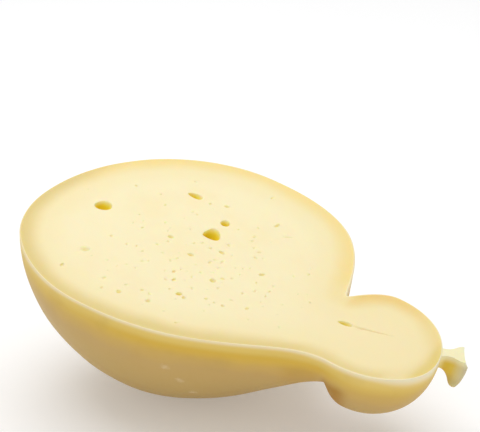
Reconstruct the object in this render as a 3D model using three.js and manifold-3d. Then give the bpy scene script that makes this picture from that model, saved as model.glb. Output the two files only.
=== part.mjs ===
// Half of a caciocavallo cheese, split lengthwise and lying on its round side with the cut face up.
//
// The whole cheese is a pear-shaped belly that a string has drawn in to a neck, with a small round
// head beyond it and a pinched-off nub at the end. One solid is shaped as the whole cheese and then
// cut, as a knife cuts it.
//
// Lengths are in millimetres and angles in degrees. The cheese is shaped in a cut frame: u runs along
// the cheese from its round end to its head, v across the cut face and w up out of it. The finished
// part has X along the cheese and Z up, with its origin on the resting surface, under the middle of
// its box.

import * as THREE from 'three';
import { mergeVertices } from 'three/addons/utils/BufferGeometryUtils.js';
import Module from 'manifold-3d';

// Driving dimensions: the two ends of the long axis, as u and v
const BELLY_END = { u: -81, v: -6 };
const HEAD_END = { u: 132.7, v: -1.3 };

// Driving dimensions: the three profiles of the half. Each place is [u, distance out from v = 0], or
// [u, depth] on the underside. A reach is how far the profile runs on before it turns, and a slope
// is its angle to the long axis where it meets the neck.
const CREASED_SIDE = {
  belly: [1, 79.7],
  bellyReach: 65,
  neck: [76.8, 18.2],
  neckIn: { reach: 19.5, slope: 68 },
  neckOut: { reach: 7.2, slope: 46.5 },
  head: [97.6, 33],
  headReach: 9,
};
const SMOOTH_SIDE = {
  belly: [-16, 65.5],
  bellyReach: 60,
  neck: [88, 29],
  neckIn: { reach: 24, slope: 5 },
  neckOut: { reach: 4, slope: -5 },
  head: [97, 29.1],
  headReach: 4,
};
const UNDERSIDE = {
  belly: [3.3, 77.6],
  bellyReach: 36.5,
  neck: [86.7, 25.4],
  neckIn: { reach: 18.5, slope: 31.5 },
  neckOut: { reach: 2.9, slope: 60 },
  head: [99.5, 39.9],
  headReach: 8.8,
};

// Driving dimensions: the nub, a flattened trumpet that leans to the creased side and droops
const NUB = {
  root: { u: 125.4, v: 8.5 },
  lean: 28,
  droop: 5,
  length: 16,
  stemRadius: 2.5,
  stemLength: 7,
  lipRadius: 5.4,
  lipThickness: 2.2,
  lipRounding: 0.8,
  flattening: 3.3,
};

// Driving dimensions: the larger eyes that the knife opened, and the slit in the head
const EYES = [
  { u: -52.8, v: 3.5, length: 8.6, width: 7.4, turn: 41 },
  { u: -22.7, v: 41.1, length: 7.6, width: 4.2, turn: 4 },
  { u: 2.3, v: 17.8, length: 9.8, width: 8.8, turn: -49 },
  { u: 1.8, v: 30.5, length: 5.6, width: 4.8, turn: -49 },
  { u: 15, v: -30.5, length: 3.4, width: 2.8, turn: 40 },
  { u: 85.6, v: -0.6, length: 6.6, width: 3.4, turn: 12 },
];
const EYE_DEPTH_RATIO = 0.45;
const EYE_CENTRE_DEPTH_RATIO = 0.25;

// Driving dimensions: how the half lies
const HEAD_DOWN = 12.3;
const CREASED_SIDE_UP = 8.1;
const RESTING_SPOT_DEPTH = 1.2;

// Fineness of the faceting: rings along each stretch of the profiles, and sides around the solids
const STRETCH_RINGS = [14, 14, 6, 8];
const BODY_SIDES = 80;
const NUB_SIDES = 28;
const FLARE_STEPS = 7;
const EYE_SIDES = 14;
const EYE_RINGS = 8;
const CUTTER_SIZE = 400;

const CHEESE_COLOUR = 0xf0dca2;
const CHEESE_ROUGHNESS = 0.6;

const radians = THREE.MathUtils.degToRad;
const wasm = await Module();
wasm.setup();

// Turn a closed geometry into a solid. Triangles that close to a line at a pole are dropped.
function solidOf(geometry) {
  const bare = geometry.clone();
  bare.deleteAttribute('normal');
  bare.deleteAttribute('uv');
  const merged = mergeVertices(bare, 1e-4);
  const index = merged.index.array;
  const corners = [];
  for (let i = 0; i < index.length; i += 3) {
    const [a, b, c] = index.slice(i, i + 3);
    if (a !== b && b !== c && c !== a) corners.push(a, b, c);
  }
  return new wasm.Manifold(
    new wasm.Mesh({
      numProp: 3,
      vertProperties: new Float32Array(merged.attributes.position.array),
      triVerts: new Uint32Array(corners),
    }),
  );
}

// Turn a solid back into a geometry with flat faces.
function geometryOf(solid) {
  const mesh = solid.getMesh();
  const geometry = new THREE.BufferGeometry();
  geometry.setAttribute('position', new THREE.BufferAttribute(mesh.vertProperties, 3));
  geometry.setIndex(new THREE.BufferAttribute(mesh.triVerts, 1));
  const flat = geometry.toNonIndexed();
  flat.computeVertexNormals();
  return flat;
}

// One profile from the belly's end to the head's end, in four stretches: the round end, the shoulder,
// the neck's far flank and the crown of the head.
function profileOf(side, bellyEndOut, headEndOut) {
  const belly = new THREE.Vector2(...side.belly);
  const neck = new THREE.Vector2(...side.neck);
  const head = new THREE.Vector2(...side.head);
  const inward = radians(side.neckIn.slope);
  const outward = radians(side.neckOut.slope);
  const beforeNeck = new THREE.Vector2(-Math.cos(inward), Math.sin(inward));
  const afterNeck = new THREE.Vector2(Math.cos(outward), Math.sin(outward));
  const quarter = Math.PI / 2;
  return [
    new THREE.EllipseCurve(
      belly.x, bellyEndOut, belly.x - BELLY_END.u, belly.y - bellyEndOut, Math.PI, quarter, true,
    ),
    new THREE.CubicBezierCurve(
      belly,
      new THREE.Vector2(belly.x + side.bellyReach, belly.y),
      neck.clone().addScaledVector(beforeNeck, side.neckIn.reach),
      neck,
    ),
    new THREE.CubicBezierCurve(
      neck,
      neck.clone().addScaledVector(afterNeck, side.neckOut.reach),
      new THREE.Vector2(head.x - side.headReach, head.y),
      head,
    ),
    new THREE.EllipseCurve(
      head.x, headEndOut, HEAD_END.u - head.x, head.y - headEndOut, quarter, 0, true,
    ),
  ];
}

// The ring at a count along the cheese: its two points on the cut plane and its deepest point.
const creased = profileOf(CREASED_SIDE, BELLY_END.v, HEAD_END.v);
const smooth = profileOf(SMOOTH_SIDE, -BELLY_END.v, -HEAD_END.v);
const under = profileOf(UNDERSIDE, 0, 0);
function ringAt(count) {
  let stretch = 0;
  let left = count;
  while (stretch < STRETCH_RINGS.length - 1 && left > STRETCH_RINGS[stretch]) {
    left -= STRETCH_RINGS[stretch];
    stretch += 1;
  }
  const t = left / STRETCH_RINGS[stretch];
  const far = creased[stretch].getPoint(t);
  const near = smooth[stretch].getPoint(t);
  const low = under[stretch].getPoint(t);
  return { far, near: new THREE.Vector2(near.x, -near.y), low };
}

// The whole cheese: a sphere whose rings are moved on to half ellipses through the three profiles,
// with the second half the mirror image of the first. The sides start half a step from the cut
// plane, so that the knife passes between two rows of corners.
function wholeCheese() {
  const ringCount = STRETCH_RINGS.reduce((sum, rings) => sum + rings, 0);
  const sphere = new THREE.SphereGeometry(1, BODY_SIDES, ringCount);
  const { position, uv } = sphere.attributes;
  for (let i = 0; i < position.count; i += 1) {
    const { far, near, low } = ringAt(Math.round((1 - uv.getY(i)) * ringCount));
    const angle = 2 * Math.PI * (uv.getX(i) + 0.5 / BODY_SIDES);
    const middle = far.clone().add(near).multiplyScalar(0.5);
    const across = far.clone().sub(near).multiplyScalar(0.5);
    const depth = Math.sin(angle);
    const u = middle.x + across.x * Math.cos(angle) + (low.x - middle.x) * Math.abs(depth);
    const v = middle.y + across.y * Math.cos(angle);
    position.setXYZ(i, u, v, -low.y * depth);
  }
  return solidOf(sphere);
}

// The nub: a stem that flares to a lip, turned on its own axis and then flattened across the cut.
function nub() {
  const lipStart = NUB.length - NUB.lipThickness;
  const flare = new THREE.CubicBezierCurve(
    new THREE.Vector2(NUB.stemRadius, NUB.stemLength),
    new THREE.Vector2(NUB.stemRadius, (NUB.stemLength + lipStart) / 2),
    new THREE.Vector2(NUB.lipRadius, lipStart - NUB.lipThickness / 2),
    new THREE.Vector2(NUB.lipRadius, lipStart + NUB.lipRounding),
  );
  const outline = [
    new THREE.Vector2(0, 0),
    new THREE.Vector2(NUB.stemRadius, 0),
    ...flare.getPoints(FLARE_STEPS),
    new THREE.Vector2(NUB.lipRadius, NUB.length - NUB.lipRounding),
    new THREE.Vector2(NUB.lipRadius - NUB.lipRounding, NUB.length),
    new THREE.Vector2(0, NUB.length),
  ];
  const trumpet = new THREE.LatheGeometry(outline, NUB_SIDES);
  trumpet.scale(1, 1, NUB.flattening);
  const lean = radians(NUB.lean);
  const droop = radians(NUB.droop);
  const axis = new THREE.Vector3(
    Math.cos(lean) * Math.cos(droop), Math.sin(lean) * Math.cos(droop), -Math.sin(droop),
  );
  const across = new THREE.Vector3(Math.sin(lean), -Math.cos(lean), 0);
  const up = new THREE.Vector3().crossVectors(across, axis);
  const place = new THREE.Matrix4().makeBasis(across, axis, up).setPosition(NUB.root.u, NUB.root.v, 0);
  return solidOf(trumpet.applyMatrix4(place));
}

// One eye: an oval bubble that the cut opens near its middle.
function eye({ u, v, length, width, turn }) {
  const bubble = new THREE.SphereGeometry(0.5, EYE_SIDES, EYE_RINGS);
  const depth = width * EYE_DEPTH_RATIO;
  bubble.scale(length, width, 2 * depth);
  bubble.rotateZ(radians(turn));
  bubble.translate(u, v, -depth * EYE_CENTRE_DEPTH_RATIO);
  return solidOf(bubble);
}

// All that lies above a level, as a block to cut away.
function blockAbove(level) {
  const block = new THREE.BoxGeometry(CUTTER_SIZE, CUTTER_SIZE, CUTTER_SIZE);
  block.translate(0, 0, level + CUTTER_SIZE / 2);
  return solidOf(block);
}

// Cut the cheese and open its eyes, in the cut frame.
let half = wholeCheese().add(nub()).subtract(blockAbove(0));
for (const bubble of EYES) half = half.subtract(eye(bubble));

// Lay it down, head low and creased side up, and flatten the small spot that it rests on.
const lying = geometryOf(half);
lying.rotateX(radians(CREASED_SIDE_UP));
lying.rotateY(radians(HEAD_DOWN));
lying.computeBoundingBox();
const spotLevel = lying.boundingBox.min.z + RESTING_SPOT_DEPTH;
const resting = geometryOf(solidOf(lying).intersect(blockAbove(spotLevel)));
resting.computeBoundingBox();
const middle = resting.boundingBox.getCenter(new THREE.Vector3());
resting.translate(-middle.x, -middle.y, -resting.boundingBox.min.z);

const cheese = new THREE.Mesh(
  resting,
  new THREE.MeshStandardMaterial({ color: CHEESE_COLOUR, roughness: CHEESE_ROUGHNESS, metalness: 0 }),
);
cheese.name = 'caciocavallo_half';

const part = new THREE.Group();
part.name = 'caciocavallo';
part.add(cheese);

export default part;
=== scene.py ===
# %% [markdown]
# # Half a caciocavallo, modelled and finished
# A caciocavallo is a stretched-curd cheese that hangs from a string: a pear-shaped belly, a drawn-in
# neck, a small head and the nub where the maker pinched the curd off. This one has been split
# lengthwise, and the half lies on its rind with the cut face up. In this lesson the plain solid that
# comes with the frame is replaced by a fine model of the same form, with a lip along the cut, eyes and
# pinholes in the paste, and finishes for the paste, the eyes, the rind and the nub.

# %% Load the frame
import math
import random

import bmesh
import bpy
import numpy as np
from mathutils import Matrix, Vector


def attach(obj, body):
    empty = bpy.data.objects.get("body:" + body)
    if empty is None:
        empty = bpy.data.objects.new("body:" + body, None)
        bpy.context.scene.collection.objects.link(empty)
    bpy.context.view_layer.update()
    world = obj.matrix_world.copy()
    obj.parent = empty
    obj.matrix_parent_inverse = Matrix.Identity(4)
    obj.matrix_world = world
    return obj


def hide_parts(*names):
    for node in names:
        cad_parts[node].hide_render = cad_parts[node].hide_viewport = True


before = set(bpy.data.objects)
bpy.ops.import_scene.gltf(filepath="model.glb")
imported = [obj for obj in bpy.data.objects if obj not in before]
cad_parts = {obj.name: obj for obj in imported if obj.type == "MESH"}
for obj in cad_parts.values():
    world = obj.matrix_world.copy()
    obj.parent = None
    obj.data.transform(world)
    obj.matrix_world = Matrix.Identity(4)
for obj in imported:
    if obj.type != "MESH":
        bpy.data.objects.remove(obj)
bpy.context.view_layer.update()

MM = 0.001
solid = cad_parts["caciocavallo_half"]
bpy.ops.object.select_all(action="DESELECT")

# %% [markdown]
# ## The cut frame
# The cheese is easiest to shape on its own knife cut: one axis along the cheese towards the head, one
# across the cut face towards the creased side of the neck, and one straight out of the face. The half
# lies head down and rolled a little, so this frame is turned against the floor. Its place is measured
# on the solid itself, so nothing has to be fitted by eye.

# %% Find the cut frame on the solid
# Ends and places on the cut are along and across, in millimetres.
HEAD_DOWN = math.radians(12.3)
CREASED_SIDE_UP = math.radians(8.1)
BELLY_END = (-81.0, -6.0)
CREASED_BELLY_OUT = 79.7

cut_turn = Matrix.Rotation(HEAD_DOWN, 3, "Y") @ Matrix.Rotation(CREASED_SIDE_UP, 3, "X")
ALONG, ACROSS, OUT = cut_turn.transposed()

solid_corners = np.array([corner.co for corner in solid.data.vertices])
reach_along = (solid_corners @ np.array(ALONG)).min() - BELLY_END[0] * MM
reach_across = (solid_corners @ np.array(ACROSS)).max() - CREASED_BELLY_OUT * MM
reach_out = (solid_corners @ np.array(OUT)).max()
CUT_ORIGIN = ALONG * reach_along + ACROSS * reach_across + OUT * reach_out
cut_matrix = Matrix.Translation(CUT_ORIGIN) @ cut_turn.to_4x4()


def to_cut(points):
    """Points of the frame, in metres, as millimetres along, across and out of the cut."""
    return (np.asarray(points) - np.array(CUT_ORIGIN)) @ np.array(cut_turn) / MM


def from_cut(points):
    """Millimetres along, across and out of the cut as points of the frame, in metres."""
    return np.asarray(points) * MM @ np.array(cut_turn).T + np.array(CUT_ORIGIN)


print("the cut's origin is at", [round(value / MM, 2) for value in CUT_ORIGIN], "mm")

# %% [markdown]
# ## The camera
# The camera stands where the photograph was taken: low, in front of the smooth side, with the head to
# the right and nearer. A long lens keeps the near end from swelling. The place of the cut's origin in
# the picture fixes the camera sideways and up, so no lens shift is needed.

# %% Place the camera
IMAGE_SIZE = (480, 432)
ORIGIN_PIXEL = (188, 250)
PIXELS_PER_MM = 2.1
VIEW_AZIMUTH = math.radians(29.95)
VIEW_ELEVATION = math.radians(21.8)
VIEW_DISTANCE = 739.9
SENSOR_WIDTH = 36.0
NEAREST_SEEN = 10

view_back = Vector((
    math.sin(VIEW_AZIMUTH) * math.cos(VIEW_ELEVATION),
    -math.cos(VIEW_AZIMUTH) * math.cos(VIEW_ELEVATION),
    math.sin(VIEW_ELEVATION),
))
view_right = Vector((math.cos(VIEW_AZIMUTH), math.sin(VIEW_AZIMUTH), 0))
view_up = view_back.cross(view_right)
sideways = (IMAGE_SIZE[0] / 2 - ORIGIN_PIXEL[0]) / PIXELS_PER_MM * MM
upwards = (ORIGIN_PIXEL[1] - IMAGE_SIZE[1] / 2) / PIXELS_PER_MM * MM

bpy.ops.object.camera_add()
camera = bpy.context.object
camera.location = CUT_ORIGIN + view_back * VIEW_DISTANCE * MM + view_right * sideways + view_up * upwards
camera.rotation_euler = view_back.to_track_quat("Z", "Y").to_euler()
camera.data.sensor_width = SENSOR_WIDTH
camera.data.lens = SENSOR_WIDTH * PIXELS_PER_MM * VIEW_DISTANCE / IMAGE_SIZE[0]
camera.data.clip_start = NEAREST_SEEN * MM
bpy.context.scene.camera = camera
print("the lens is", round(camera.data.lens, 1), "mm")

# %% [markdown]
# ## Three profiles
# Two lines bound the cut face, and a third follows the deepest line of the underside. Each runs from
# the belly's end to the head's end in four stretches: a quarter of an ellipse round the belly, a curve
# over the shoulder to the neck, a curve from the neck on to the head, and a quarter of an ellipse over
# the crown. A line drawn by hand would do too, but these few places can be measured and set again. On
# one side the string has left a sharp crease. On the other the shoulder runs smoothly into the head,
# so the string lay at a slant, and so does the crease.

# %% Describe the profiles
# Each place is along and out. Into the neck and out of it, a profile has a reach and a slope in degrees.
HEAD_END = (132.7, -1.3)
CREASED_SIDE = dict(
    belly=(1, CREASED_BELLY_OUT), belly_reach=65, neck=(76.8, 18.2), neck_in=(19.5, 68),
    neck_out=(7.2, 46.5), head=(97.6, 33), head_reach=9,
)
SMOOTH_SIDE = dict(
    belly=(-16, 65.5), belly_reach=60, neck=(88, 29), neck_in=(24, 5), neck_out=(4, -5),
    head=(97, 29.1), head_reach=4,
)
UNDERSIDE = dict(
    belly=(3.3, 77.6), belly_reach=36.5, neck=(86.7, 25.4), neck_in=(18.5, 31.5), neck_out=(2.9, 60),
    head=(99.5, 39.9), head_reach=8.8,
)
STRETCH_ENDS = (0.34, 0.64, 0.78, 1.0)


def quarter_round(end, widest, share):
    """From an end on the long axis at share 0 to the widest place at share 1."""
    angle = share * math.pi / 2
    along = widest[0] + (end[0] - widest[0]) * np.cos(angle)
    return np.stack([along, end[1] + (widest[1] - end[1]) * np.sin(angle)], -1)


def bend(start, start_handle, end_handle, end, share):
    """A cubic curve through start and end."""
    t = share[:, None]
    ends = (1 - t) ** 3 * np.array(start) + t**3 * np.array(end)
    return ends + 3 * t * (1 - t) * ((1 - t) * np.array(start_handle) + t * np.array(end_handle))


def step_from(place, reach, degrees):
    """The place that lies a reach away in a direction."""
    angle = math.radians(degrees)
    return place[0] + reach * math.cos(angle), place[1] + reach * math.sin(angle)


def profile(side, belly_end_out, head_end_out, places):
    """Distance along and distance out for each place from 0, the belly's end, to 1, the head's end."""
    belly, neck, head = side["belly"], side["neck"], side["head"]
    over_shoulder = (belly[0] + side["belly_reach"], belly[1])
    before_head = (head[0] - side["head_reach"], head[1])
    into_neck = step_from(neck, side["neck_in"][0], 180 - side["neck_in"][1])
    out_of_neck = step_from(neck, *side["neck_out"])
    starts = (0.0, *STRETCH_ENDS[:-1])
    shares = [np.clip((places - start) / (end - start), 0, 1) for start, end in zip(starts, STRETCH_ENDS)]
    stretches = [
        quarter_round((BELLY_END[0], belly_end_out), belly, shares[0]),
        bend(belly, over_shoulder, into_neck, neck, shares[1]),
        bend(neck, out_of_neck, before_head, head, shares[2]),
        quarter_round((HEAD_END[0], head_end_out), head, 1 - shares[3]),
    ]
    which = np.minimum(np.searchsorted(STRETCH_ENDS, places), len(stretches) - 1)
    return np.choose(which[:, None], stretches)


print("the profiles run from", BELLY_END[0], "to", HEAD_END[0], "mm")

# %% [markdown]
# ## From profiles to a body
# Cut across anywhere, the half is close to half an ellipse, because soft curd rounds itself off. So each
# slice passes through the three profiles: its two ends lie on the edges of the cut and its middle on
# the underside. A loft would need each slice to be drawn, while a ball can be carried over as it is.
# Above the cut it is the mirror image, until the knife takes that away.

# %% Define how a ball fits the profiles
OUTLINE_STEPS = 400
LEAST_RADIUS = 1e-9


def cut_edges(places):
    """The creased edge and the smooth edge of the cut face, as along and across."""
    creased = profile(CREASED_SIDE, BELLY_END[1], HEAD_END[1], places)
    smooth = profile(SMOOTH_SIDE, -BELLY_END[1], -HEAD_END[1], places)
    return creased, smooth * (1, -1)


def on_cheese(sphere_points):
    """Where each point of a unit sphere goes on the cheese, along, across and out of the cut.

    The sphere's x runs from the belly's end to the head's end, y to the creased side and z out of the
    cut. Each slice across x becomes an ellipse through the three profiles.
    """
    x, y, z = sphere_points.T
    places = np.arccos(np.clip(-x, -1, 1)) / math.pi
    slice_radius = np.maximum(np.hypot(y, z), LEAST_RADIUS)
    sideward, downward = y / slice_radius, np.abs(z) / slice_radius
    creased, smooth = cut_edges(places)
    deepest = profile(UNDERSIDE, 0, 0, places)
    middle, half_width = (creased + smooth) / 2, (creased - smooth) / 2
    along = middle[:, 0] + half_width[:, 0] * sideward + (deepest[:, 0] - middle[:, 0]) * downward
    across = middle[:, 1] + half_width[:, 1] * sideward
    return np.stack([along, across, np.sign(z) * deepest[:, 1] * downward], -1)


creased_edge, smooth_edge = cut_edges(np.linspace(0, 1, OUTLINE_STEPS))
outline = np.vstack([creased_edge, smooth_edge[::-1]])
print("the cut is", np.ptp(outline, axis=0).round(1), "mm")

# %% [markdown]
# ## The whole cheese
# A ball is the natural start: the maker rolls the curd into one before drawing out the neck. A sphere
# with its poles up and down has a ring of edges just where the knife will go, so the rim of the cut is
# an even row of faces. Every corner of the ball is then carried to its place on the profiles. Soft
# dents, a fraction of a millimetre deep, keep the rind from looking machined.

# %% Shape the ball into the cheese
BALL_SEGMENTS = 480
BALL_RINGS = 100
DENT_SIZE = 34
DENT_DEPTH = 0.9


def read_corners(piece):
    """All corners of a piece, as rows of three numbers."""
    corners = np.empty(len(piece.data.vertices) * 3)
    piece.data.vertices.foreach_get("co", corners)
    return corners.reshape(-1, 3)


def write_corners(piece, corners):
    """Moves the corners of a piece."""
    piece.data.vertices.foreach_set("co", np.ascontiguousarray(corners, dtype=np.float64).ravel())
    piece.data.update()


def apply_modifiers(piece):
    """Makes the effect of each modifier permanent, in order."""
    bpy.context.view_layer.objects.active = piece
    for modifier in list(piece.modifiers):
        bpy.ops.object.modifier_apply(modifier=modifier.name)


bpy.ops.mesh.primitive_uv_sphere_add(segments=BALL_SEGMENTS, ring_count=BALL_RINGS, radius=1)
cheese = bpy.context.object
cheese.name = "cheese_half"
write_corners(cheese, from_cut(on_cheese(read_corners(cheese))))

dents = bpy.data.textures.new("soft_dents", "CLOUDS")
dents.noise_scale = DENT_SIZE * MM
dents.noise_depth = 1
denting = cheese.modifiers.new("soft_dents", "DISPLACE")
denting.texture = dents
denting.strength = DENT_DEPTH * MM
apply_modifiers(cheese)
print("the whole cheese has", len(cheese.data.polygons), "faces")

# %% [markdown]
# ## The crease and the resting spot
# A string cannot leave a knife-sharp line in soft curd, so the corners near the neck are smoothed a
# few times, as with the Smooth Vertices tool. Underneath, the weight of the cheese presses a small
# spot flat: those corners are scaled to nothing in height, about the floor.

# %% Soften the crease and flatten the resting spot
CREASE_REACH = 4
CREASE_SMOOTHING = 0.5
CREASE_PASSES = 5


def edit_corners(piece, chosen):
    """Goes into edit mode with just these corners of the piece selected."""
    bpy.context.view_layer.objects.active = piece
    bpy.ops.object.mode_set(mode="EDIT")
    bpy.ops.mesh.select_mode(type="VERT")
    bpy.ops.mesh.select_all(action="DESELECT")
    bpy.ops.object.mode_set(mode="OBJECT")
    piece.data.vertices.foreach_set("select", np.asarray(chosen, dtype=bool))
    bpy.ops.object.mode_set(mode="EDIT")


crease_start = np.array(CREASED_SIDE["neck"])
crease_end = np.array(SMOOTH_SIDE["neck"]) * (1, -1)
crease_run = (crease_end - crease_start) / np.linalg.norm(crease_end - crease_start)
crease_square = np.array([crease_run[1], -crease_run[0]])
from_crease = np.abs((to_cut(read_corners(cheese))[:, :2] - crease_start) @ crease_square)
near_crease = from_crease < CREASE_REACH
edit_corners(cheese, near_crease)
bpy.ops.mesh.vertices_smooth(factor=CREASE_SMOOTHING, repeat=CREASE_PASSES)
bpy.ops.object.mode_set(mode="OBJECT")

under_floor = read_corners(cheese)[:, 2] < 0
edit_corners(cheese, under_floor)
bpy.ops.transform.resize(value=(1, 1, 0), center_override=(0, 0, 0))
bpy.ops.object.mode_set(mode="OBJECT")
print("smoothed", int(near_crease.sum()), "corners, flattened", int(under_floor.sum()))

# %% [markdown]
# ## The knife cut and its lip
# The Bisect tool is the knife: it cuts along a plane, clears what lies above it and fills the cut.
# The rind is firmer than the paste, so it stands up as a thin lip round the face, and its outer corner
# is rounded. Insets step inwards from the rim: the first two make the lip, and the wider ones give
# the face rings on which its colour can change from the rim to the middle. All of them are paste, and
# only the rounded corner still belongs to the rind.

# %% Cut, round and inset the rim
# Each step is how far it goes inwards and how far it rises. A piece's second finish is for its cut.
RIM_ROUNDING = 0.5
RIM_SEGMENTS = 3
LIP_STEPS = ((0.4, 0.0), (0.7, -0.22))
BAND_STEPS = ((0.8, -0.08), (1.2, 0), (1.6, 0))
CUT_FINISH = 1
KNIFE_TOLERANCE = 1e-5

rind = bpy.data.materials.new("rind")
paste = bpy.data.materials.new("paste")
cheese.data.materials.append(rind)
cheese.data.materials.append(paste)


def select_largest_face(piece):
    """Leaves only the largest face of the piece selected. The piece is in edit mode."""
    bpy.ops.mesh.select_mode(type="FACE")
    bpy.ops.mesh.select_all(action="DESELECT")
    editing = bmesh.from_edit_mesh(piece.data)
    largest = max(editing.faces, key=lambda face: face.calc_area())
    largest.select_set(True)
    bmesh.update_edit_mesh(piece.data)
    return len(largest.verts)


bpy.context.view_layer.objects.active = cheese
bpy.ops.object.mode_set(mode="EDIT")
bpy.ops.mesh.select_all(action="SELECT")
bpy.ops.mesh.bisect(
    plane_co=CUT_ORIGIN, plane_no=OUT, use_fill=True, clear_outer=True, threshold=KNIFE_TOLERANCE,
)
rim_corners = select_largest_face(cheese)
bpy.ops.mesh.bevel(offset=RIM_ROUNDING * MM, segments=RIM_SEGMENTS, affect="EDGES")
select_largest_face(cheese)
cheese.active_material_index = CUT_FINISH
bpy.ops.object.material_slot_assign()
for inward, rise in LIP_STEPS:
    bpy.ops.mesh.inset(thickness=inward * MM, depth=rise * MM)
for inward, rise in BAND_STEPS:
    bpy.ops.mesh.inset(thickness=inward * MM, depth=rise * MM, use_even_offset=False)
bpy.ops.object.mode_set(mode="OBJECT")
print("the rim has", rim_corners, "corners, and the half", len(cheese.data.polygons), "faces")

# %% [markdown]
# ## A grid on the cut face
# One great face cannot carry a colour that changes gently, because a colour is stored on corners. So the
# face is taken out, and the two long sides of the hole are bridged with cuts in between, which leaves a
# grid. The sides are parted at two corners half way round from each other, turned a little from the long
# axis, so that the bars of the grid lie at the slant of the crease and do not cross there. The small gaps
# at the two ends are filled as they are.

# %% Bridge the cut face
FACE_CUTS = 40
GRID_SLANT = math.radians(5.5)

bpy.ops.object.mode_set(mode="EDIT")
bpy.ops.mesh.delete(type="ONLY_FACE")
bpy.ops.mesh.select_mode(type="EDGE")
bpy.ops.mesh.select_all(action="DESELECT")
editing = bmesh.from_edit_mesh(cheese.data)
hole = [edge for edge in editing.edges if edge.is_boundary]
hole_corners = [corner for edge in hole for corner in edge.verts]
long_way = ALONG * math.cos(GRID_SLANT) - ACROSS * math.sin(GRID_SLANT)
walked = [min(hole_corners, key=lambda corner: corner.co.dot(long_way))]
edge = next(edge for edge in walked[0].link_edges if edge.is_boundary)
while len(walked) < len(hole):
    walked.append(edge.other_vert(walked[-1]))
    edge = next(other for other in walked[-1].link_edges if other.is_boundary and other != edge)
ends = {walked[0], walked[len(walked) // 2]}
for edge in hole:
    edge.select_set(ends.isdisjoint(edge.verts))
bmesh.update_edit_mesh(cheese.data)
bpy.ops.mesh.bridge_edge_loops(number_cuts=FACE_CUTS, interpolation="LINEAR")
bpy.ops.mesh.select_all(action="SELECT")
bpy.ops.mesh.fill_holes(sides=0)
bpy.ops.object.mode_set(mode="OBJECT")
paste_faces = sum(face.material_index == CUT_FINISH for face in cheese.data.polygons)
print("the half has", len(cheese.data.polygons), "faces,", paste_faces, "of them paste")

# %% [markdown]
# ## The nub
# Where the maker pinched the curd off, a short stem flares out to a flattened trumpet. It grows as on a
# lathe: a filled circle, extruded step by step along its axis and scaled each time. A spin would be
# quicker, but only for a round nub. Across the cut this one is a thin stem that flares late, and
# downwards it is a broad ribbon that flares early. The near edge of its end bulges outwards a little.

# %% Extrude the nub
# Each row is the height along the axis, the half width and the half depth. Each place under the axis
# has its share of the bulge.
NUB_SIDES = 28
NUB_ROWS = (
    (0, 4.6, 10), (4.4, 3.4, 9.2), (6, 2.7, 8.8), (7.6, 2.4, 9.2), (9.4, 2.7, 10.6),
    (11, 3.3, 13), (12.4, 4.4, 16.8), (13.8, 5.3, 18.4), (15.4, 5.7, 18.5), (16.1, 5.2, 17.6),
)
NUB_END_INSET = 1.0
NUB_END_HOLLOW = 0.6
NUB_SMOOTHING = 2
NUB_BULGE = 1.7
NUB_BULGE_HEIGHTS = (10, 14)
NUB_BULGE_SIDES = (-2, 3)
NUB_BULGE_SHARES = ((0, 0), (2, 1), (6, 1), (12, 0.65), (15, 0.3))

bpy.ops.object.select_all(action="DESELECT")
bpy.ops.mesh.primitive_circle_add(vertices=NUB_SIDES, radius=MM, fill_type="NGON", location=(0, 0, 0))
nub = bpy.context.object
nub.name = "nub"
bpy.ops.object.mode_set(mode="EDIT")
bpy.ops.mesh.select_mode(type="FACE")
bpy.ops.mesh.select_all(action="SELECT")
bpy.ops.transform.resize(value=(*NUB_ROWS[0][1:], 1), center_override=(0, 0, 0))
for row, next_row in zip(NUB_ROWS[:-1], NUB_ROWS[1:]):
    rise = (next_row[0] - row[0]) * MM
    widening, deepening = next_row[1] / row[1], next_row[2] / row[2]
    bpy.ops.mesh.extrude_region_move(TRANSFORM_OT_translate={"value": (0, 0, rise)})
    bpy.ops.transform.resize(value=(widening, deepening, 1), center_override=(0, 0, next_row[0] * MM))
bpy.ops.mesh.inset(thickness=NUB_END_INSET * MM, depth=-NUB_END_HOLLOW * MM)
bpy.ops.mesh.select_all(action="SELECT")
bpy.ops.mesh.normals_make_consistent(inside=False)
bpy.ops.object.mode_set(mode="OBJECT")
smoothing = nub.modifiers.new("smoothing", "SUBSURF")
smoothing.levels = smoothing.render_levels = NUB_SMOOTHING
apply_modifiers(nub)

nub_corners = read_corners(nub)
nearward, under, height = nub_corners.T / MM
bulging = np.interp(height, NUB_BULGE_HEIGHTS, (0, 1)) * np.interp(nearward, NUB_BULGE_SIDES, (0, 1))
bulging *= np.interp(under, *zip(*NUB_BULGE_SHARES))
nub_corners[:, 2] += bulging * NUB_BULGE * MM
write_corners(nub, nub_corners)
print("the nub has", len(nub.data.polygons), "faces")

# %% [markdown]
# ## Joining the nub
# The trumpet is leant over to the creased side and let droop a little, as the curd did when it was torn
# off. The same knife cuts it, a shade deeper than the face, and a Boolean union joins it to the head.
# Joined like this the two are one body of cheese, and each keeps its own finish.

# %% Place, cut and join the nub
NUB_ROOT = (125.5, 8.1, 0)
NUB_LEAN = math.radians(28)
NUB_DROOP = math.radians(5)
NUB_BELOW_CUT = 0.4

nub_axis = Vector((
    math.cos(NUB_LEAN) * math.cos(NUB_DROOP),
    math.sin(NUB_LEAN) * math.cos(NUB_DROOP),
    -math.sin(NUB_DROOP),
))
nub_across = Vector((math.sin(NUB_LEAN), -math.cos(NUB_LEAN), 0))
nub_turn = Matrix((nub_across, nub_axis.cross(nub_across), nub_axis)).transposed().to_4x4()
nub.matrix_world = cut_matrix @ Matrix.Translation(Vector(NUB_ROOT) * MM) @ nub_turn
bpy.ops.object.transform_apply(location=True, rotation=True, scale=True)

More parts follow.
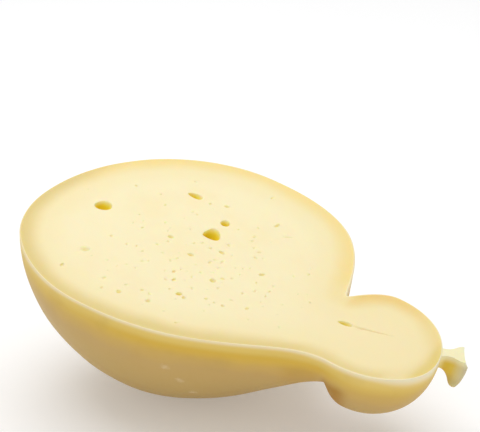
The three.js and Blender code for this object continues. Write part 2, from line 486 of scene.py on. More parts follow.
nub_skin = bpy.data.materials.new("nub_skin")
nub_curd = bpy.data.materials.new("nub_curd")
nub.data.materials.append(nub_skin)
nub.data.materials.append(nub_curd)
bpy.ops.object.mode_set(mode="EDIT")
bpy.ops.mesh.select_all(action="SELECT")
bpy.ops.mesh.bisect(
    plane_co=CUT_ORIGIN - OUT * NUB_BELOW_CUT * MM, plane_no=OUT, use_fill=True, clear_outer=True,
)
select_largest_face(nub)
nub.active_material_index = CUT_FINISH
bpy.ops.object.material_slot_assign()
bpy.ops.object.mode_set(mode="OBJECT")


def combine(piece, tool, operation):
    """Joins or cuts the piece with a tool, which is then removed."""
    boolean = piece.modifiers.new(operation.lower(), "BOOLEAN")
    boolean.operation = operation
    boolean.object = tool
    boolean.solver = "MANIFOLD"
    boolean.material_mode = "TRANSFER"
    apply_modifiers(piece)
    bpy.data.objects.remove(tool)


combine(cheese, nub, "UNION")
print("with the nub the half has", len(cheese.data.polygons), "faces")

# %% [markdown]
# ## Eyes
# Gas bubbles leave eyes in the paste, and the knife opens those that it meets. A bubble is a sphere,
# stretched and turned, and sometimes drawn in at one end where the curd was pulled. The knife has left
# less than half of each, so its middle lies above the face and its walls slope like a dish's. The curd
# sagged while it set, so the floor slants down to one side. The larger eyes have their own places. Three
# more marks are made in the same way: the slit where the head has split, a dull patch where the knife
# only grazed a bubble, and a scratch.

# %% Make the larger eyes
# Each eye is along, across, length, width, depth, turn in degrees and how far one end is drawn in.
EYES = (
    (-52.4, 4.2, 9.2, 8.5, 2.6, 41, 0.15),
    (-22.2, 41.1, 9.0, 4.8, 1.6, 4, 0.3),
    (1.6, 18.6, 9.1, 11.5, 3.2, 41, 0.5),
    (1.8, 30.8, 5.0, 5.8, 1.9, 41, 0.1),
    (15.0, -30.5, 3.4, 2.8, 0.9, 40, 0.1),
    (86.0, 0.1, 7.8, 3.4, 1.2, 12, 0.2),
    (-38.3, -30.5, 5.2, 4.6, 0.3, 40, 0.1),
    (31.8, 41.1, 5.6, 0.9, 0.22, 36, 0.0),
)
EYE_SIDES = 24
BUBBLE_RAISE = 0.6
BUBBLE_SLANT = np.array((1.0, 1.7))
BUBBLE_LEAST_DEPTH = 0.2
BUBBLE_DRAWN_FROM = 0.15
FACE_DROP = -sum(rise for inward, rise in LIP_STEPS + BAND_STEPS)

bubbles = []


def bubble(along, across, length, width, depth, turn=0.0, draw_in=0.0, sides=EYE_SIDES):
    """Adds one bubble, given by its opening in the face and its depth under the face."""
    bpy.ops.mesh.primitive_uv_sphere_add(segments=sides, ring_count=sides * 2 // 3, radius=0.5)
    made = bpy.context.object
    corners = read_corners(made)
    under_face = np.minimum(corners[:, 2] + BUBBLE_RAISE / 2, 0)
    deepening = np.maximum(1 - corners[:, :2] @ BUBBLE_SLANT, BUBBLE_LEAST_DEPTH)
    corners[:, 2] += under_face * (deepening - 1)
    corners[:, 1] *= 1 + draw_in * 2 * (corners[:, 0] - BUBBLE_DRAWN_FROM)
    write_corners(made, corners)
    half_depth = depth / (1 - BUBBLE_RAISE)
    widening = 1 / math.sqrt(1 - BUBBLE_RAISE**2)
    place = Matrix.Translation(Vector((along, across, half_depth * BUBBLE_RAISE - FACE_DROP)) * MM)
    spin = Matrix.Rotation(math.radians(turn), 4, "Z")
    sizes = Vector((length * widening, width * widening, half_depth * 2)) * MM
    made.matrix_world = cut_matrix @ place @ spin @ Matrix.Diagonal((*sizes, 1))
    bpy.ops.object.transform_apply(location=True, rotation=True, scale=True)
    bubbles.append(made)


bpy.ops.object.select_all(action="DESELECT")
for eye in EYES:
    bubble(*eye)
print("made", len(bubbles), "larger eyes and marks")

# %% [markdown]
# ## Small eyes and pinholes
# Between the eyes the paste is full of smaller holes. The small eyes have their own places, and the
# pinholes crowd the middle of the belly. Placing a hundred of them by hand would be dull work, so a
# seeded draw spreads them, and it draws again wherever a pinhole would meet another hole or come too
# near the rim. The seed makes every run the same.

# %% Make the small eyes and draw the pinholes
# Each small eye is along, across and size.
SMALL_EYES = (
    (-12.5, 4.1, 3.4), (13.4, 9.3, 3.2), (2.8, -1.7, 3.3), (21.8, -12.0, 3.6), (37.2, 6.9, 3.0),
    (-7.1, -46.9, 3.0), (6.9, -43.9, 2.8), (-39.0, -47.4, 2.8), (22.5, 46.1, 3.2), (-5.2, 43.6, 2.8),
    (4.0, -18.1, 2.5), (7.4, -23.2, 2.6), (18.4, -31.5, 2.6), (35.4, -24.9, 2.3),
    (45.1, -19.6, 2.2), (26.6, -25.6, 2.0), (25.5, -48.9, 2.0), (65.6, 3.1, 1.7), (54.6, 21.5, 1.7),
)
SMALL_EYE_STRETCH = (1.0, 1.35)
SMALL_EYE_DRAW_IN = 0.1
SMALL_EYE_SIDES = 14
PINHOLE_COUNT = 105
PINHOLE_SIZES = (0.7, 1.9)
PINHOLE_STRETCH = (1.0, 1.8)
PINHOLE_MIDDLE = (8, -2)
PINHOLE_SPREAD = (27, 24)
PINHOLE_GAP = 2.2
PINHOLE_RIM_GAP = 12
PINHOLE_LAST = 70
PINHOLE_SIDES = 10
SMALL_DEPTH_RATIO = 0.17
ANY_TURN = (-90, 90)
DRAW_SEED = 11

draw = random.Random(DRAW_SEED)
for along, across, size in SMALL_EYES:
    stretch = draw.uniform(*SMALL_EYE_STRETCH)
    turn = draw.uniform(*ANY_TURN)
    depth = size * SMALL_DEPTH_RATIO
    bubble(along, across, size * stretch, size / stretch, depth, turn, SMALL_EYE_DRAW_IN, SMALL_EYE_SIDES)

taken = [(eye[0], eye[1], eye[2] / 2) for eye in EYES + SMALL_EYES]
pinholes = 0
while pinholes < PINHOLE_COUNT:
    along = draw.gauss(PINHOLE_MIDDLE[0], PINHOLE_SPREAD[0])
    across = draw.gauss(PINHOLE_MIDDLE[1], PINHOLE_SPREAD[1])
    size = draw.uniform(*PINHOLE_SIZES)
    stretch = draw.uniform(*PINHOLE_STRETCH)
    turn = draw.uniform(*ANY_TURN)
    rim_gap = np.linalg.norm(outline - (along, across), axis=1).min()
    inside = rim_gap > PINHOLE_RIM_GAP and along < PINHOLE_LAST
    clear = all(math.dist((along, across), other[:2]) > other[2] + PINHOLE_GAP for other in taken)
    if inside and clear:
        bubble(along, across, size * stretch, size, size * SMALL_DEPTH_RATIO, turn, sides=PINHOLE_SIDES)
        taken.append((along, across, size / 2))
        pinholes += 1

print("made", len(bubbles), "bubbles in all")

# %% [markdown]
# ## Opening the bubbles
# All bubbles are joined into one tool, so that the half is cut once. The tool wears a finish of its own,
# and the walls that it leaves keep it.

# %% Cut the eyes
bpy.ops.object.select_all(action="DESELECT")
for made in bubbles:
    made.select_set(True)
bpy.context.view_layer.objects.active = bubbles[0]
bpy.ops.object.join()
eyes_tool = bubbles[0]
eye_wall = bpy.data.materials.new("eye_wall")
eyes_tool.data.materials.append(eye_wall)
combine(cheese, eyes_tool, "DIFFERENCE")
print("with its eyes the half has", len(cheese.data.polygons), "faces")

# %% [markdown]
# ## The crack
# From the slit a fine crack runs on through the head, broad and shallow at first and then ever finer. It
# is one more sphere, drawn out along the crack's path with its poles at the two ends, and it is cut on
# its own because it meets the slit. Then the half is shaded smooth, apart from its sharp edges.

# %% Cut the crack
# Each place on the crack is along, across and width.
CRACK = (
    (85.5, 0.0, 3.2), (88.7, 0.9, 3.2), (91.4, 1.2, 2.8), (93.8, 1.6, 2.2), (97.8, 2.9, 1.6),
    (101.3, 3.9, 1.3), (104.3, 5.1, 1.2), (107.6, 6.1, 1.2), (111, 7.1, 1.0),
)
CRACK_DEPTH = 0.2
CRACK_SIDES = 16
CRACK_RINGS = 48
SHARP_ANGLE = math.radians(38)

bpy.ops.mesh.primitive_uv_sphere_add(segments=CRACK_SIDES, ring_count=CRACK_RINGS, radius=0.5)
crack_tool = bpy.context.object
outward, sideward, share = read_corners(crack_tool).T
shares = np.linspace(-0.5, 0.5, len(CRACK))
crack_along, crack_across, crack_width = (np.interp(share, shares, row) for row in zip(*CRACK))
crack_depth = CRACK_DEPTH / (1 - BUBBLE_RAISE)
crack_out = crack_depth * (2 * outward + BUBBLE_RAISE) - FACE_DROP
crack_across = crack_across - sideward * crack_width
write_corners(crack_tool, from_cut(np.stack([crack_along, crack_across, crack_out], -1)))
crack_wall = bpy.data.materials.new("crack_wall")
crack_tool.data.materials.append(crack_wall)
combine(cheese, crack_tool, "DIFFERENCE")

bpy.ops.object.select_all(action="DESELECT")
cheese.select_set(True)
bpy.context.view_layer.objects.active = cheese
bpy.ops.object.shade_smooth_by_angle(angle=SHARP_ANGLE)
print("with its crack the half has", len(cheese.data.polygons), "faces")

# %% [markdown]
# ## How far from the rim
# The paste is drier and yellower near the rind. A shader cannot measure how far it is from the rim, so
# the distance in millimetres is stored on the corners as an attribute. The corners are measured some at
# a time, because one table of all distances would be large.

# %% Store the distance from the rim
FAR_INSIDE = 30.0
BATCHES = 12

cut_corners = to_cut(read_corners(cheese))
rim_distance = np.empty(len(cut_corners))
for some in np.array_split(np.arange(len(cut_corners)), BATCHES):
    apart = cut_corners[some, None, :2] - outline[None]
    rim_distance[some] = np.linalg.norm(apart, axis=2).min(axis=1)
rim_distance = np.minimum(rim_distance, FAR_INSIDE)
stored = cheese.data.attributes.new("rim_distance", "FLOAT", "POINT")
stored.data.foreach_set("value", rim_distance.astype(np.float32))
print("stored", len(rim_distance), "distances,", round(float(rim_distance.mean()), 1), "mm on average")

# %% [markdown]
# ## Shader sums
# A finish is a sum of many small terms, and it reads best as one. This small class wraps a socket, so
# that an ordinary expression such as 1 - mask adds the Math nodes. Most masks are soft steps: they rise
# from 0 to 1 over a stretch, or fall, or do both.

# %% Define the shader sums
class Wire:
    """A value in a shader, with the arithmetic that the finishes use."""

    def __init__(self, finish, socket):
        self.finish = finish
        self.socket = socket

    def math(self, operation, *values):
        return self.finish.node("ShaderNodeMath", {"operation": operation}, dict(enumerate(values)))

    def __add__(self, other):
        return self.math("ADD", self, other)

    def __sub__(self, other):
        return self.math("SUBTRACT", self, other)

    def __rsub__(self, other):
        return self.math("SUBTRACT", other, self)

    def __mul__(self, other):
        return self.math("MULTIPLY", self, other)

    def __truediv__(self, other):
        return self.math("DIVIDE", self, other)

    __radd__ = __add__
    __rmul__ = __mul__

    def rise(self, low, high):
        """A smooth step from 0 at low to 1 at high."""
        settings = {"interpolation_type": "SMOOTHSTEP"}
        sockets = {"Value": self, "From Min": low, "From Max": high}
        return self.finish.node("ShaderNodeMapRange", settings, sockets)

    def fall(self, low, high):
        """A smooth step from 1 at low to 0 at high."""
        return 1 - self.rise(low, high)

    def between(self, start, end):
        """Rises over a first stretch and falls again over a second one."""
        return self.rise(*start) * self.fall(*end)


print("the shader sums are ready")

# %% [markdown]
# ## Finishes
# Every other node comes from one method, which takes the node's type, its settings, and the values or
# links of its sockets. The few nodes that these finishes need often get a short name of their own. The
# finishes read the place on the piece, so no picture has to be painted or unwrapped.

# %% Define the finishes
# The Mix node has sockets of one name for numbers, vectors and colours, so they go by their numbers.
MIX_SHARE, MIX_LOW_COLOUR, MIX_HIGH_COLOUR = 0, 6, 7
MIX_COLOUR = 2
NOISE_MIDDLE = 0.5


class Finish:
    """A material whose nodes are added one call at a time."""

    def __init__(self, material):
        material.use_nodes = True
        self.tree = material.node_tree
        self.tree.nodes.clear()

    def node(self, kind, settings=None, sockets=None, output=0):
        made = self.tree.nodes.new(kind)
        for name, value in (settings or {}).items():
            if name == "stops":
                self.set_stops(made.color_ramp, value)
            else:
                setattr(made, name, value)
        for name, value in (sockets or {}).items():
            if isinstance(value, Wire):
                self.tree.links.new(value.socket, made.inputs[name])
            else:
                made.inputs[name].default_value = value
        return Wire(self, made.outputs[output]) if made.outputs else None

    @staticmethod
    def set_stops(ramp, stops):
        """Gives a colour ramp its stops, each a place and a colour."""
        while len(ramp.elements) < len(stops):
            ramp.elements.new(1.0)
        for element, (place, colour) in zip(ramp.elements, stops):
            element.position = place
            element.color = colour

    def ramp(self, value, reach, stops):
        """A colour for a value from 0 to a reach, through stops of a value and a colour."""
        places = tuple((place / reach, colour) for place, colour in stops)
        return self.node("ShaderNodeValToRGB", {"stops": places}, {"Fac": value * (1 / reach)})

    def mix(self, share, low, high):
        """From one colour to another."""
        sockets = {MIX_SHARE: share, MIX_LOW_COLOUR: low, MIX_HIGH_COLOUR: high}
        return self.node("ShaderNodeMix", {"data_type": "RGBA"}, sockets, output=MIX_COLOUR)

    def place(self):
        """The place on the piece, in metres."""
        return self.node("ShaderNodeTexCoord", output="Object")

    def noise(self, place, per_metre, detail):
        """Cloudy values around the noise's middle."""
        sockets = {"Vector": place, "Scale": per_metre, "Detail": detail}
        return self.node("ShaderNodeTexNoise", None, sockets)

    def distance_along(self, place, axis, start=CUT_ORIGIN):
        """Millimetres along an axis from a start, both in the frame."""
        sockets = {0: place, 1: tuple(axis)}
        reach = self.node("ShaderNodeVectorMath", {"operation": "DOT_PRODUCT"}, sockets, output="Value")
        return (reach - start.dot(axis)) * (1 / MM)

    def distance_from(self, place, point):
        """Millimetres from a point of the frame."""
        sockets = {0: place, 1: tuple(point)}
        reach = self.node("ShaderNodeVectorMath", {"operation": "DISTANCE"}, sockets, output="Value")
        return reach * (1 / MM)

    def bump(self, height, depth, strength):
        """A bumped normal, with the height's full range as deep as the given millimetres."""
        sockets = {"Height": height, "Distance": depth * MM, "Strength": strength}
        return self.node("ShaderNodeBump", None, sockets)

    def surface(self, **sockets):
        """The surface itself. Sockets are named with underscores for spaces."""
        named = {name.replace("_", " "): value for name, value in sockets.items()}
        shader = self.node("ShaderNodeBsdfPrincipled", None, named)
        self.node("ShaderNodeOutputMaterial", None, {"Surface": shader})


def light_of(level):
    """The light that a screen's level from 0 to 255 stands for, by the usual screen curve."""
    share = level / 255
    return share / 12.92 if share <= 0.04045 else ((share + 0.055) / 1.055) ** 2.4


def shade(red, green, blue):
    """A colour given as it shows on a screen, as the renderer's own light values."""
    return light_of(red), light_of(green), light_of(blue), 1.0


print("the finishes are ready")

# %% [markdown]
# ## The paste
# The cut paste is a pale cream with a hint of butter, a little yellower towards the head, and warmer in
# a wide band along the rim. Clouds of a slightly deeper cream keep it from looking flat, and they make
# the band's edge wander too. Each pair of numbers is a stretch over which a tone comes in.

# %% Tint the paste
# Each noise, such as the clouds, is its scale per metre and its detail.
PASTE_BELLY = shade(255, 239, 195)
PASTE_HEAD = shade(253, 233, 183)
PASTE_CLOUD = shade(254, 233, 183)
PASTE_WARM = shade(250, 232, 179)
BELLY_TO_HEAD = (30, 110)
PASTE_CLOUDS = (45, 3)
PASTE_CLOUD_EDGE = (0.4, 0.75)
PASTE_CLOUD_SHARE = 0.5
WARM_REACH = (8, 26)
WARM_SHARE = 0.7
WARM_WANDER = 5
NECK_ALONG = (45, 80)
NECK_ACROSS = (-25, -5)
NECK_NARROWING = 0.3

finish = Finish(paste)
place = finish.place()
from_rim = finish.node("ShaderNodeAttribute", {"attribute_name": "rim_distance"}, output="Fac")
along = finish.distance_along(place, ALONG)
across = finish.distance_along(place, ACROSS)
clouds = finish.noise(place, *PASTE_CLOUDS)
colour = finish.mix(along.rise(*BELLY_TO_HEAD), PASTE_BELLY, PASTE_HEAD)
colour = finish.mix(clouds.rise(*PASTE_CLOUD_EDGE) * PASTE_CLOUD_SHARE, colour, PASTE_CLOUD)
near_neck = along.rise(*NECK_ALONG) * across.fall(*NECK_ACROSS)
uneven_rim = from_rim * (1 + near_neck * NECK_NARROWING) + (clouds - NOISE_MIDDLE) * WARM_WANDER
colour = finish.mix(uneven_rim.fall(*WARM_REACH) * WARM_SHARE, colour, PASTE_WARM)
print("the paste's tints take", len(finish.tree.nodes), "nodes")

# %% [markdown]
# ## The dry rim
# Near the rind the paste dries and turns yellow: duller on the low side and round the belly's end, and
# golden on the far side of the head. On the low side and round the belly's end the duller tone is partly
# dryness and partly painted shade of the face rolling off towards the rim. The head's near side goes
# through three tones, with a worn, paler stretch in the middle. At the crease the string kept the air
# away, so the paste there is less dry.

# %% Dry the paste near the rim
# The low side's duller tone is partly dryness and partly painted shade.
DRY_LOW_AND_SHADE = shade(229, 208, 139)
DRY_HIGH = shade(248, 223, 150)
DRY_HEAD = shade(242, 211, 134)
DRY_CROWN = shade(243, 221, 152)
DRY_HEAD_NEAR = shade(234, 213, 147)
DRY_HEAD_WORN = shade(243, 223, 166)
DRY_HEAD_END = shade(232, 209, 126)
LOW_TO_HIGH = (-45, 35)
PAST_BELLY_END = (-80, -62)
HEAD_FROM = (76, 82)
CROWN_FROM = (98, 120)
WORN_FROM = (114, 120)
HEAD_END_FROM = (123, 129)
FAR_SIDE_FROM = (-12, 8)
FAR_SIDE_TURNS = (112, 128)
FAR_SIDE_SHIFT = 16
DRY_REACH = (2, 12)
CREASE_SHELTER = (2, 16)
CREASE_DRYNESS = 0.45
PAST_CREASE = (77, 81)
PAST_CREASE_SHIFT = 7

crease_place = cut_matrix @ Vector((*crease_start * MM, 0))
dry_belly_and_shade = finish.mix(across.rise(*LOW_TO_HIGH) * along.rise(*PAST_BELLY_END), DRY_LOW_AND_SHADE, DRY_HIGH)
dry_far = finish.mix(along.rise(*CROWN_FROM), DRY_HEAD, DRY_CROWN)
dry_near = finish.mix(along.rise(*WORN_FROM), DRY_HEAD_NEAR, DRY_HEAD_WORN)
dry_near = finish.mix(along.rise(*HEAD_END_FROM), dry_near, DRY_HEAD_END)
far_side = (across - along.rise(*FAR_SIDE_TURNS) * FAR_SIDE_SHIFT).rise(*FAR_SIDE_FROM)
dry_head = finish.mix(far_side, dry_near, dry_far)
dry = finish.mix(along.rise(*HEAD_FROM), dry_belly_and_shade, dry_head)
from_crease = finish.distance_from(place, crease_place) + along.rise(*PAST_CREASE) * PAST_CREASE_SHIFT
exposed = CREASE_DRYNESS + from_crease.rise(*CREASE_SHELTER) * (1 - CREASE_DRYNESS)
colour = finish.mix(uneven_rim.fall(*DRY_REACH) * exposed, colour, dry)
print("with the dry rim the paste has", len(finish.tree.nodes), "nodes")

# %% [markdown]
# ## The paste's surface
# At the very rim a pale line fades out round the belly's end: partly the pale cut edge and partly a
# painted highlight where the rounded rim catches light. The face is almost smooth, with a very faint
# grain, and light sinks a few millimetres into it, as into all pale curd. Gloss alone would make it look
# like plastic.

# %% Finish the paste
PASTE_LIP_AND_HIGHLIGHT = shade(255, 238, 208)
RIM_LINE_REACH = (0.3, 1.0)
RIM_LINE_FROM = (-75, -45)
RIM_LINE_SHARE = 0.8
GRAIN = (900, 2)
PASTE_ROUGHNESS = 0.5
GRAIN_ROUGHNESS = 0.12
GRAIN_SHARE = 0.5
PASTE_BUMP_DEPTH = 0.15
PASTE_BUMP_STRENGTH = 0.35
CURD_GLOW = dict(Subsurface_Weight=0.35, Subsurface_Radius=(1.0, 0.6, 0.2), Subsurface_Scale=0.004)

grain = finish.noise(place, *GRAIN)
# The pale rim line is partly the cut edge's own tone and partly a painted highlight.
rim_line_and_highlight = from_rim.fall(*RIM_LINE_REACH) * along.rise(*RIM_LINE_FROM)
finish.surface(
    Base_Color=finish.mix(rim_line_and_highlight * RIM_LINE_SHARE, colour, PASTE_LIP_AND_HIGHLIGHT),
    Roughness=PASTE_ROUGHNESS + grain * GRAIN_ROUGHNESS,
    Specular_IOR_Level=0.3,
    Normal=finish.bump(grain * GRAIN_SHARE + clouds, PASTE_BUMP_DEPTH, PASTE_BUMP_STRENGTH),
    **CURD_GLOW,
)
print("the finished paste has", len(finish.tree.nodes), "nodes")

# %% [markdown]
# ## The walls of eyes and crack
# Light goes round and round between the walls of an eye and picks up the colour of the fat each time. So
# a deep eye glows yolk yellow, a shallow one is only khaki, and the edge fades into the paste. The depth
# under the face sets the colour. The crack is shallow, and its walls are painted a pale tan that darkens
# with depth, as painted shade in the groove.

# %% Finish the walls of eyes and crack
# Each stop is a depth in millimetres and the colour there.
EYE_STOPS = (
    (0, shade(252, 240, 197)),
    (0.2, shade(244, 229, 176)),
    (0.45, shade(240, 224, 154)),
    (0.8, shade(240, 221, 118)),
    (1.2, shade(238, 214, 78)),
    (1.8, shade(233, 203, 36)),
    (3.2, shade(226, 190, 6)),
)
# The crack's walls darken with depth as painted shade in the groove.
CRACK_SHADE_STOPS = (
    (0, shade(249, 231, 182)),
    (0.12, shade(244, 222, 168)),
    (0.25, shade(240, 214, 158)),
)
WALL_REACH = 4

face_place = CUT_ORIGIN - OUT * FACE_DROP * MM
for wall, stops in ((eye_wall, EYE_STOPS), (crack_wall, CRACK_SHADE_STOPS)):
    finish = Finish(wall)
    depth = finish.distance_along(finish.place(), -OUT, face_place)
    finish.surface(
        Base_Color=finish.ramp(depth, WALL_REACH, stops),
        Roughness=0.6,
        Specular_IOR_Level=0.1,
        Subsurface_Weight=1.0,
        Subsurface_Radius=(1.0, 0.8, 0.35),
        Subsurface_Scale=0.005,
    )
    print(wall.name, "has", len(finish.tree.nodes), "nodes")

# %% [markdown]
# ## The rind
# Just under the rim the rind is golden, because light from the face shines through it, and most of all
# along the belly's side. Lower down it is a duller tan, and the deepest tones are darker partly as
# painted shade of the underside. On the belly's flank at the neck it is painted a darker golden brown,
# and in the fold under the head a brown, both as painted shade where neck and fold lie in shadow. Clouds
# make the tones wander, and a fine mottle breaks them up. A ramp over the depth below the cut gives the
# tones their order.

# %% Tint the rind
# Each stop is a depth in millimetres and the colour there.
# The deepest stops are darker partly as painted shade of the underside.
RIND_STOPS = (
    (0, shade(240, 211, 118)),
    (3, shade(237, 206, 106)),
    (7, shade(226, 190, 84)),
    (12, shade(214, 177, 90)),
    (20, shade(203, 168, 99)),
    (34, shade(197, 165, 96)),
    (70, shade(187, 155, 85)),
)
RIND_REACH = 80
RIND_GOLD = shade(224, 178, 36)
# The neck and fold tones are painted shade of the hollows under the neck and head.
RIND_NECK_SHADE = shade(198, 152, 38)
RIND_FOLD_SHADE = shade(182, 134, 46)
RIND_MOTTLE = shade(190, 150, 72)
RIND_CLOUDS = (30, 3)
TONE_WANDER = 16
WANDER_DEPTH = (2, 20)
GOLD_DEPTHS = ((3.5, 7), (7, 14))
GOLD_ALONG = ((-20, 15), (86, 100))
GOLD_SHARE = 0.45
NECK_STRETCH = ((-20, -10), (-3, 4))
NECK_DEPTH = (7, 13)
NECK_SHARE = 0.4
FOLD_STRETCH = ((0, 6), (10, 18))
FOLD_DEPTH = (10, 17)
MOTTLE = (70, 2)
MOTTLE_EDGE = (0.5, 0.8)
MOTTLE_SHARE = 0.2

crease_off = cut_turn @ Vector((*-crease_square, 0))
finish = Finish(rind)
place = finish.place()
depth = finish.distance_along(place, -OUT)
along = finish.distance_along(place, ALONG)
past_crease = finish.distance_along(place, crease_off, crease_place)
clouds = finish.noise(place, *RIND_CLOUDS)
mottle = finish.noise(place, *MOTTLE)
uneven_depth = depth + (clouds - NOISE_MIDDLE) * depth.rise(*WANDER_DEPTH) * TONE_WANDER
colour = finish.ramp(uneven_depth, RIND_REACH, RIND_STOPS)
golden = depth.between(*GOLD_DEPTHS) * along.between(*GOLD_ALONG)
colour = finish.mix(golden * GOLD_SHARE, colour, RIND_GOLD)
# Painted shade on the belly's flank at the neck and in the fold under the head.
neck_shade = past_crease.between(*NECK_STRETCH) * depth.rise(*NECK_DEPTH)
colour = finish.mix(neck_shade * NECK_SHARE, colour, RIND_NECK_SHADE)
fold_shade = past_crease.between(*FOLD_STRETCH) * depth.rise(*FOLD_DEPTH)
colour = finish.mix(fold_shade, colour, RIND_FOLD_SHADE)
colour = finish.mix(mottle.rise(*MOTTLE_EDGE) * MOTTLE_SHARE, colour, RIND_MOTTLE)
print("the rind's tints take", len(finish.tree.nodes), "nodes")

# %% [markdown]
# ## Glow and scuffs
# Round the head light shines through from the face, so the rind is paler there. On the belly three small
# scuffs show pale. Each is a soft spot round a place on the rind, and the skin's pores fray its edge.

# %% Add the glow and the scuffs
# Each scuff is along, across and out of the cut.
RIND_GLOW = shade(244, 216, 134)
GLOW_ALONG = (92, 112)
GLOW_DEPTH = (3, 12)
GLOW_SHARE = 0.35
RIND_SCUFF = shade(216, 190, 140)
SCUFFS = ((26, -55.2, -21.9), (31.5, -49.7, -30.5), (34.2, -40.8, -42.5))
SCUFF_REACH = (0, 3)
SCUFF_FRAY = 5
SCUFF_SHARE = 0.8
PORES = (700, 3)

pores = finish.noise(place, *PORES)
glow = along.rise(*GLOW_ALONG) * depth.fall(*GLOW_DEPTH)
colour = finish.mix(glow * GLOW_SHARE, colour, RIND_GLOW)
for scuff in SCUFFS:
    from_scuff = finish.distance_from(place, cut_matrix @ (Vector(scuff) * MM))
    frayed = from_scuff + (pores - NOISE_MIDDLE) * SCUFF_FRAY
    colour = finish.mix(frayed.fall(*SCUFF_REACH) * SCUFF_SHARE, colour, RIND_SCUFF)
print("with glow and scuffs the rind has", len(finish.tree.nodes), "nodes")

# %% [markdown]
# ## The lip
# Along the rim the cut edge of the skin shows as a pale line that fades downwards, and part of its
# paleness is a painted highlight where the rounded rim catches light. It reaches lower round the belly's
# end, at the crease and on the head, and it is palest at the head's end. At the crease the lower reach is
# painted light that lifts the shade of the notch, and at the head's end the extra reach and paleness are
# a painted highlight of the rounder edge. The skin itself is smooth with a soft sheen, and its pores dull
# it a little.

# %% Paint the lip and finish the rind
# Each change is a stretch along the cheese and what the lip gains over it.
RIND_LIP_AND_HIGHLIGHT = shade(255, 238, 200)
# The head's end is palest partly as a painted highlight of the rounder edge.
RIND_LIP_END_AND_HIGHLIGHT = shade(255, 243, 209)
LIP_END_FROM = (120, 130)
LIP_REACH = 4.5
LIP_UNEVENNESS = 0.8
LIP_REACH_CHANGES = (((-62, -12), -1.8), ((70, 95), 1.0), ((112, 130), 3.6))
# Near the crease the lip reaches lower as painted light on the shaded notch.
LIP_CREASE_LIGHT = (6, 24)
LIP_CREASE_LIGHT_REACH = 6
LIP_STRENGTH = 0.55
LIP_STRENGTH_CHANGES = (((-72, -40), 0.3), ((95, 125), 0.15))
RIND_ROUGHNESS = 0.44
PORE_ROUGHNESS = 0.14
PORE_BUMP_DEPTH = 0.12
PORE_BUMP_STRENGTH = 0.3
SKIN_GLOW = dict(Subsurface_Weight=0.15, Subsurface_Radius=(1.0, 0.55, 0.15), Subsurface_Scale=0.005)


def change_along(value, along, changes):
    """Changes a value stretch by stretch along the cheese."""
    for stretch, gain in changes:
        value = value + along.rise(*stretch) * gain
    return value


from_crease = finish.distance_from(place, crease_place)
lip_and_light_reach = LIP_REACH + mottle * LIP_UNEVENNESS + from_crease.fall(*LIP_CREASE_LIGHT) * LIP_CREASE_LIGHT_REACH
lip_and_light_reach = change_along(lip_and_light_reach, along, LIP_REACH_CHANGES)
lip_and_highlight_strength = change_along(LIP_STRENGTH, along, LIP_STRENGTH_CHANGES)
near_lip_and_highlight = (depth / lip_and_light_reach).fall(0, 1)
lip_and_highlight = finish.mix(along.rise(*LIP_END_FROM), RIND_LIP_AND_HIGHLIGHT, RIND_LIP_END_AND_HIGHLIGHT)
finish.surface(
    Base_Color=finish.mix(near_lip_and_highlight * near_lip_and_highlight * lip_and_highlight_strength, colour, lip_and_highlight),
    Roughness=RIND_ROUGHNESS + pores * PORE_ROUGHNESS,
    Specular_IOR_Level=0.35,
    Normal=finish.bump(pores, PORE_BUMP_DEPTH, PORE_BUMP_STRENGTH),
    **SKIN_GLOW,
)
print("the finished rind has", len(finish.tree.nodes), "nodes")

# %% [markdown]
# ## The nub's finish
# The nub is the same curd as the rest. On its cut it is the palest of all. Outside, it is pale at the
# root, golden on the pinched stem, and at the thin flared end a greyish tan, paler partly as painted
# light where the end faces the light. It pales up to the cut, and it is painted darker low down, as
# painted shade where less light reaches. A ramp along its axis gives these tones in turn.

# %% Finish the nub
# Each stop is a distance from the nub's root and the colour there.
NUB_CURD = shade(249, 240, 196)
# Painted shade: the nub is darker low down, where less light reaches.
NUB_PAINTED_SHADE = shade(196, 180, 112)
NUB_STOPS = (
    (3.5, shade(255, 243, 176)),
    (4.6, shade(252, 236, 165)),
    (5.8, shade(244, 222, 140)),
    (6.6, shade(236, 211, 114)),
    (7.6, shade(230, 197, 74)),
    (9, shade(232, 198, 60)),
    # The flared end's stops are paler partly as painted light.
    (11.5, shade(234, 204, 82)),
    (13.5, shade(230, 212, 138)),
    (15.5, shade(224, 210, 160)),
    (17, shade(210, 198, 160)),
)
NUB_REACH = 20
NUB_PALE_DEPTH = (NUB_BELOW_CUT, 5)
NUB_PALE_SHARE = 0.85
NUB_SHADE_DEPTH = (9, 15)
NUB_SHADE_SHARE = 0.5

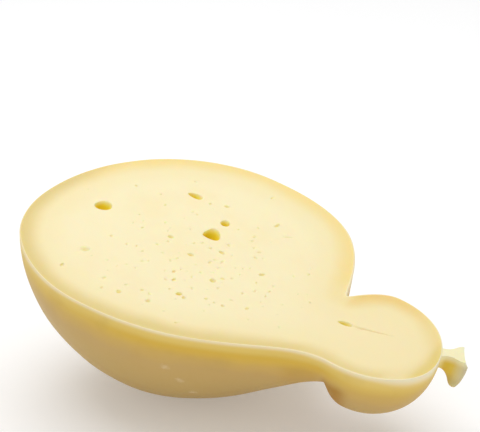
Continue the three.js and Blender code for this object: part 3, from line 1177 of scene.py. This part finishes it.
nub_start = cut_matrix @ (Vector(NUB_ROOT) * MM)
finish = Finish(nub_skin)
place = finish.place()
along_nub = finish.distance_along(place, cut_turn @ nub_axis, nub_start)
depth = finish.distance_along(place, -OUT)
skin = finish.ramp(along_nub, NUB_REACH, NUB_STOPS)
skin = finish.mix(depth.rise(*NUB_SHADE_DEPTH) * NUB_SHADE_SHARE, skin, NUB_PAINTED_SHADE)
skin = finish.mix(depth.fall(*NUB_PALE_DEPTH) * NUB_PALE_SHARE, skin, NUB_CURD)
finish.surface(Base_Color=skin, Roughness=0.5, Specular_IOR_Level=0.3, **SKIN_GLOW)
Finish(nub_curd).surface(Base_Color=NUB_CURD, Roughness=0.55, Specular_IOR_Level=0.3, **CURD_GLOW)
print("the nub's skin has", len(finish.tree.nodes), "nodes")

# %% [markdown]
# ## Floor and light
# A plain white floor and soft light from above, as in a product picture: one wide panel overhead, and a
# bright even surround. The floor glows a little, as a light table does, so that the shadow stays pale.

# %% Light the half
FLOOR_SIZE = 8.0
FLOOR_DROP = 0.1
FLOOR_COLOUR = (0.8, 0.8, 0.8, 1)
FLOOR_GLOW = 0.25
WHITE = (1, 1, 1, 1)
PANEL_SIZE = 1.6
PANEL_PLACE = Vector((-0.25, 0.15, 1.5))
PANEL_POWER = 16
SURROUND_STRENGTH = 0.5

bpy.ops.object.select_all(action="DESELECT")
bpy.ops.mesh.primitive_plane_add(size=FLOOR_SIZE, location=(0, 0, -FLOOR_DROP * MM))
floor = bpy.context.object
floor.name = "floor"
white = bpy.data.materials.new("white_floor")
Finish(white).surface(
    Base_Color=FLOOR_COLOUR,
    Roughness=0.7,
    Specular_IOR_Level=0.2,
    Emission_Color=WHITE,
    Emission_Strength=FLOOR_GLOW,
)
floor.data.materials.append(white)

bpy.ops.object.light_add(type="AREA", location=PANEL_PLACE)
panel = bpy.context.object
panel.data.size = PANEL_SIZE
panel.data.energy = PANEL_POWER
panel.rotation_euler = PANEL_PLACE.to_track_quat("Z", "Y").to_euler()

surround = bpy.data.worlds.new("surround")
bpy.context.scene.world = surround
surround.use_nodes = True
surround.node_tree.nodes["Background"].inputs["Color"].default_value = WHITE
surround.node_tree.nodes["Background"].inputs["Strength"].default_value = SURROUND_STRENGTH
bpy.context.scene.view_settings.view_transform = "Standard"
print("lit by a panel of", PANEL_POWER, "W and a surround of", SURROUND_STRENGTH)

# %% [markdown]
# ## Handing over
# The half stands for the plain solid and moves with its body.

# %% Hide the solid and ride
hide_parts("caciocavallo_half")
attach(cheese, "root")
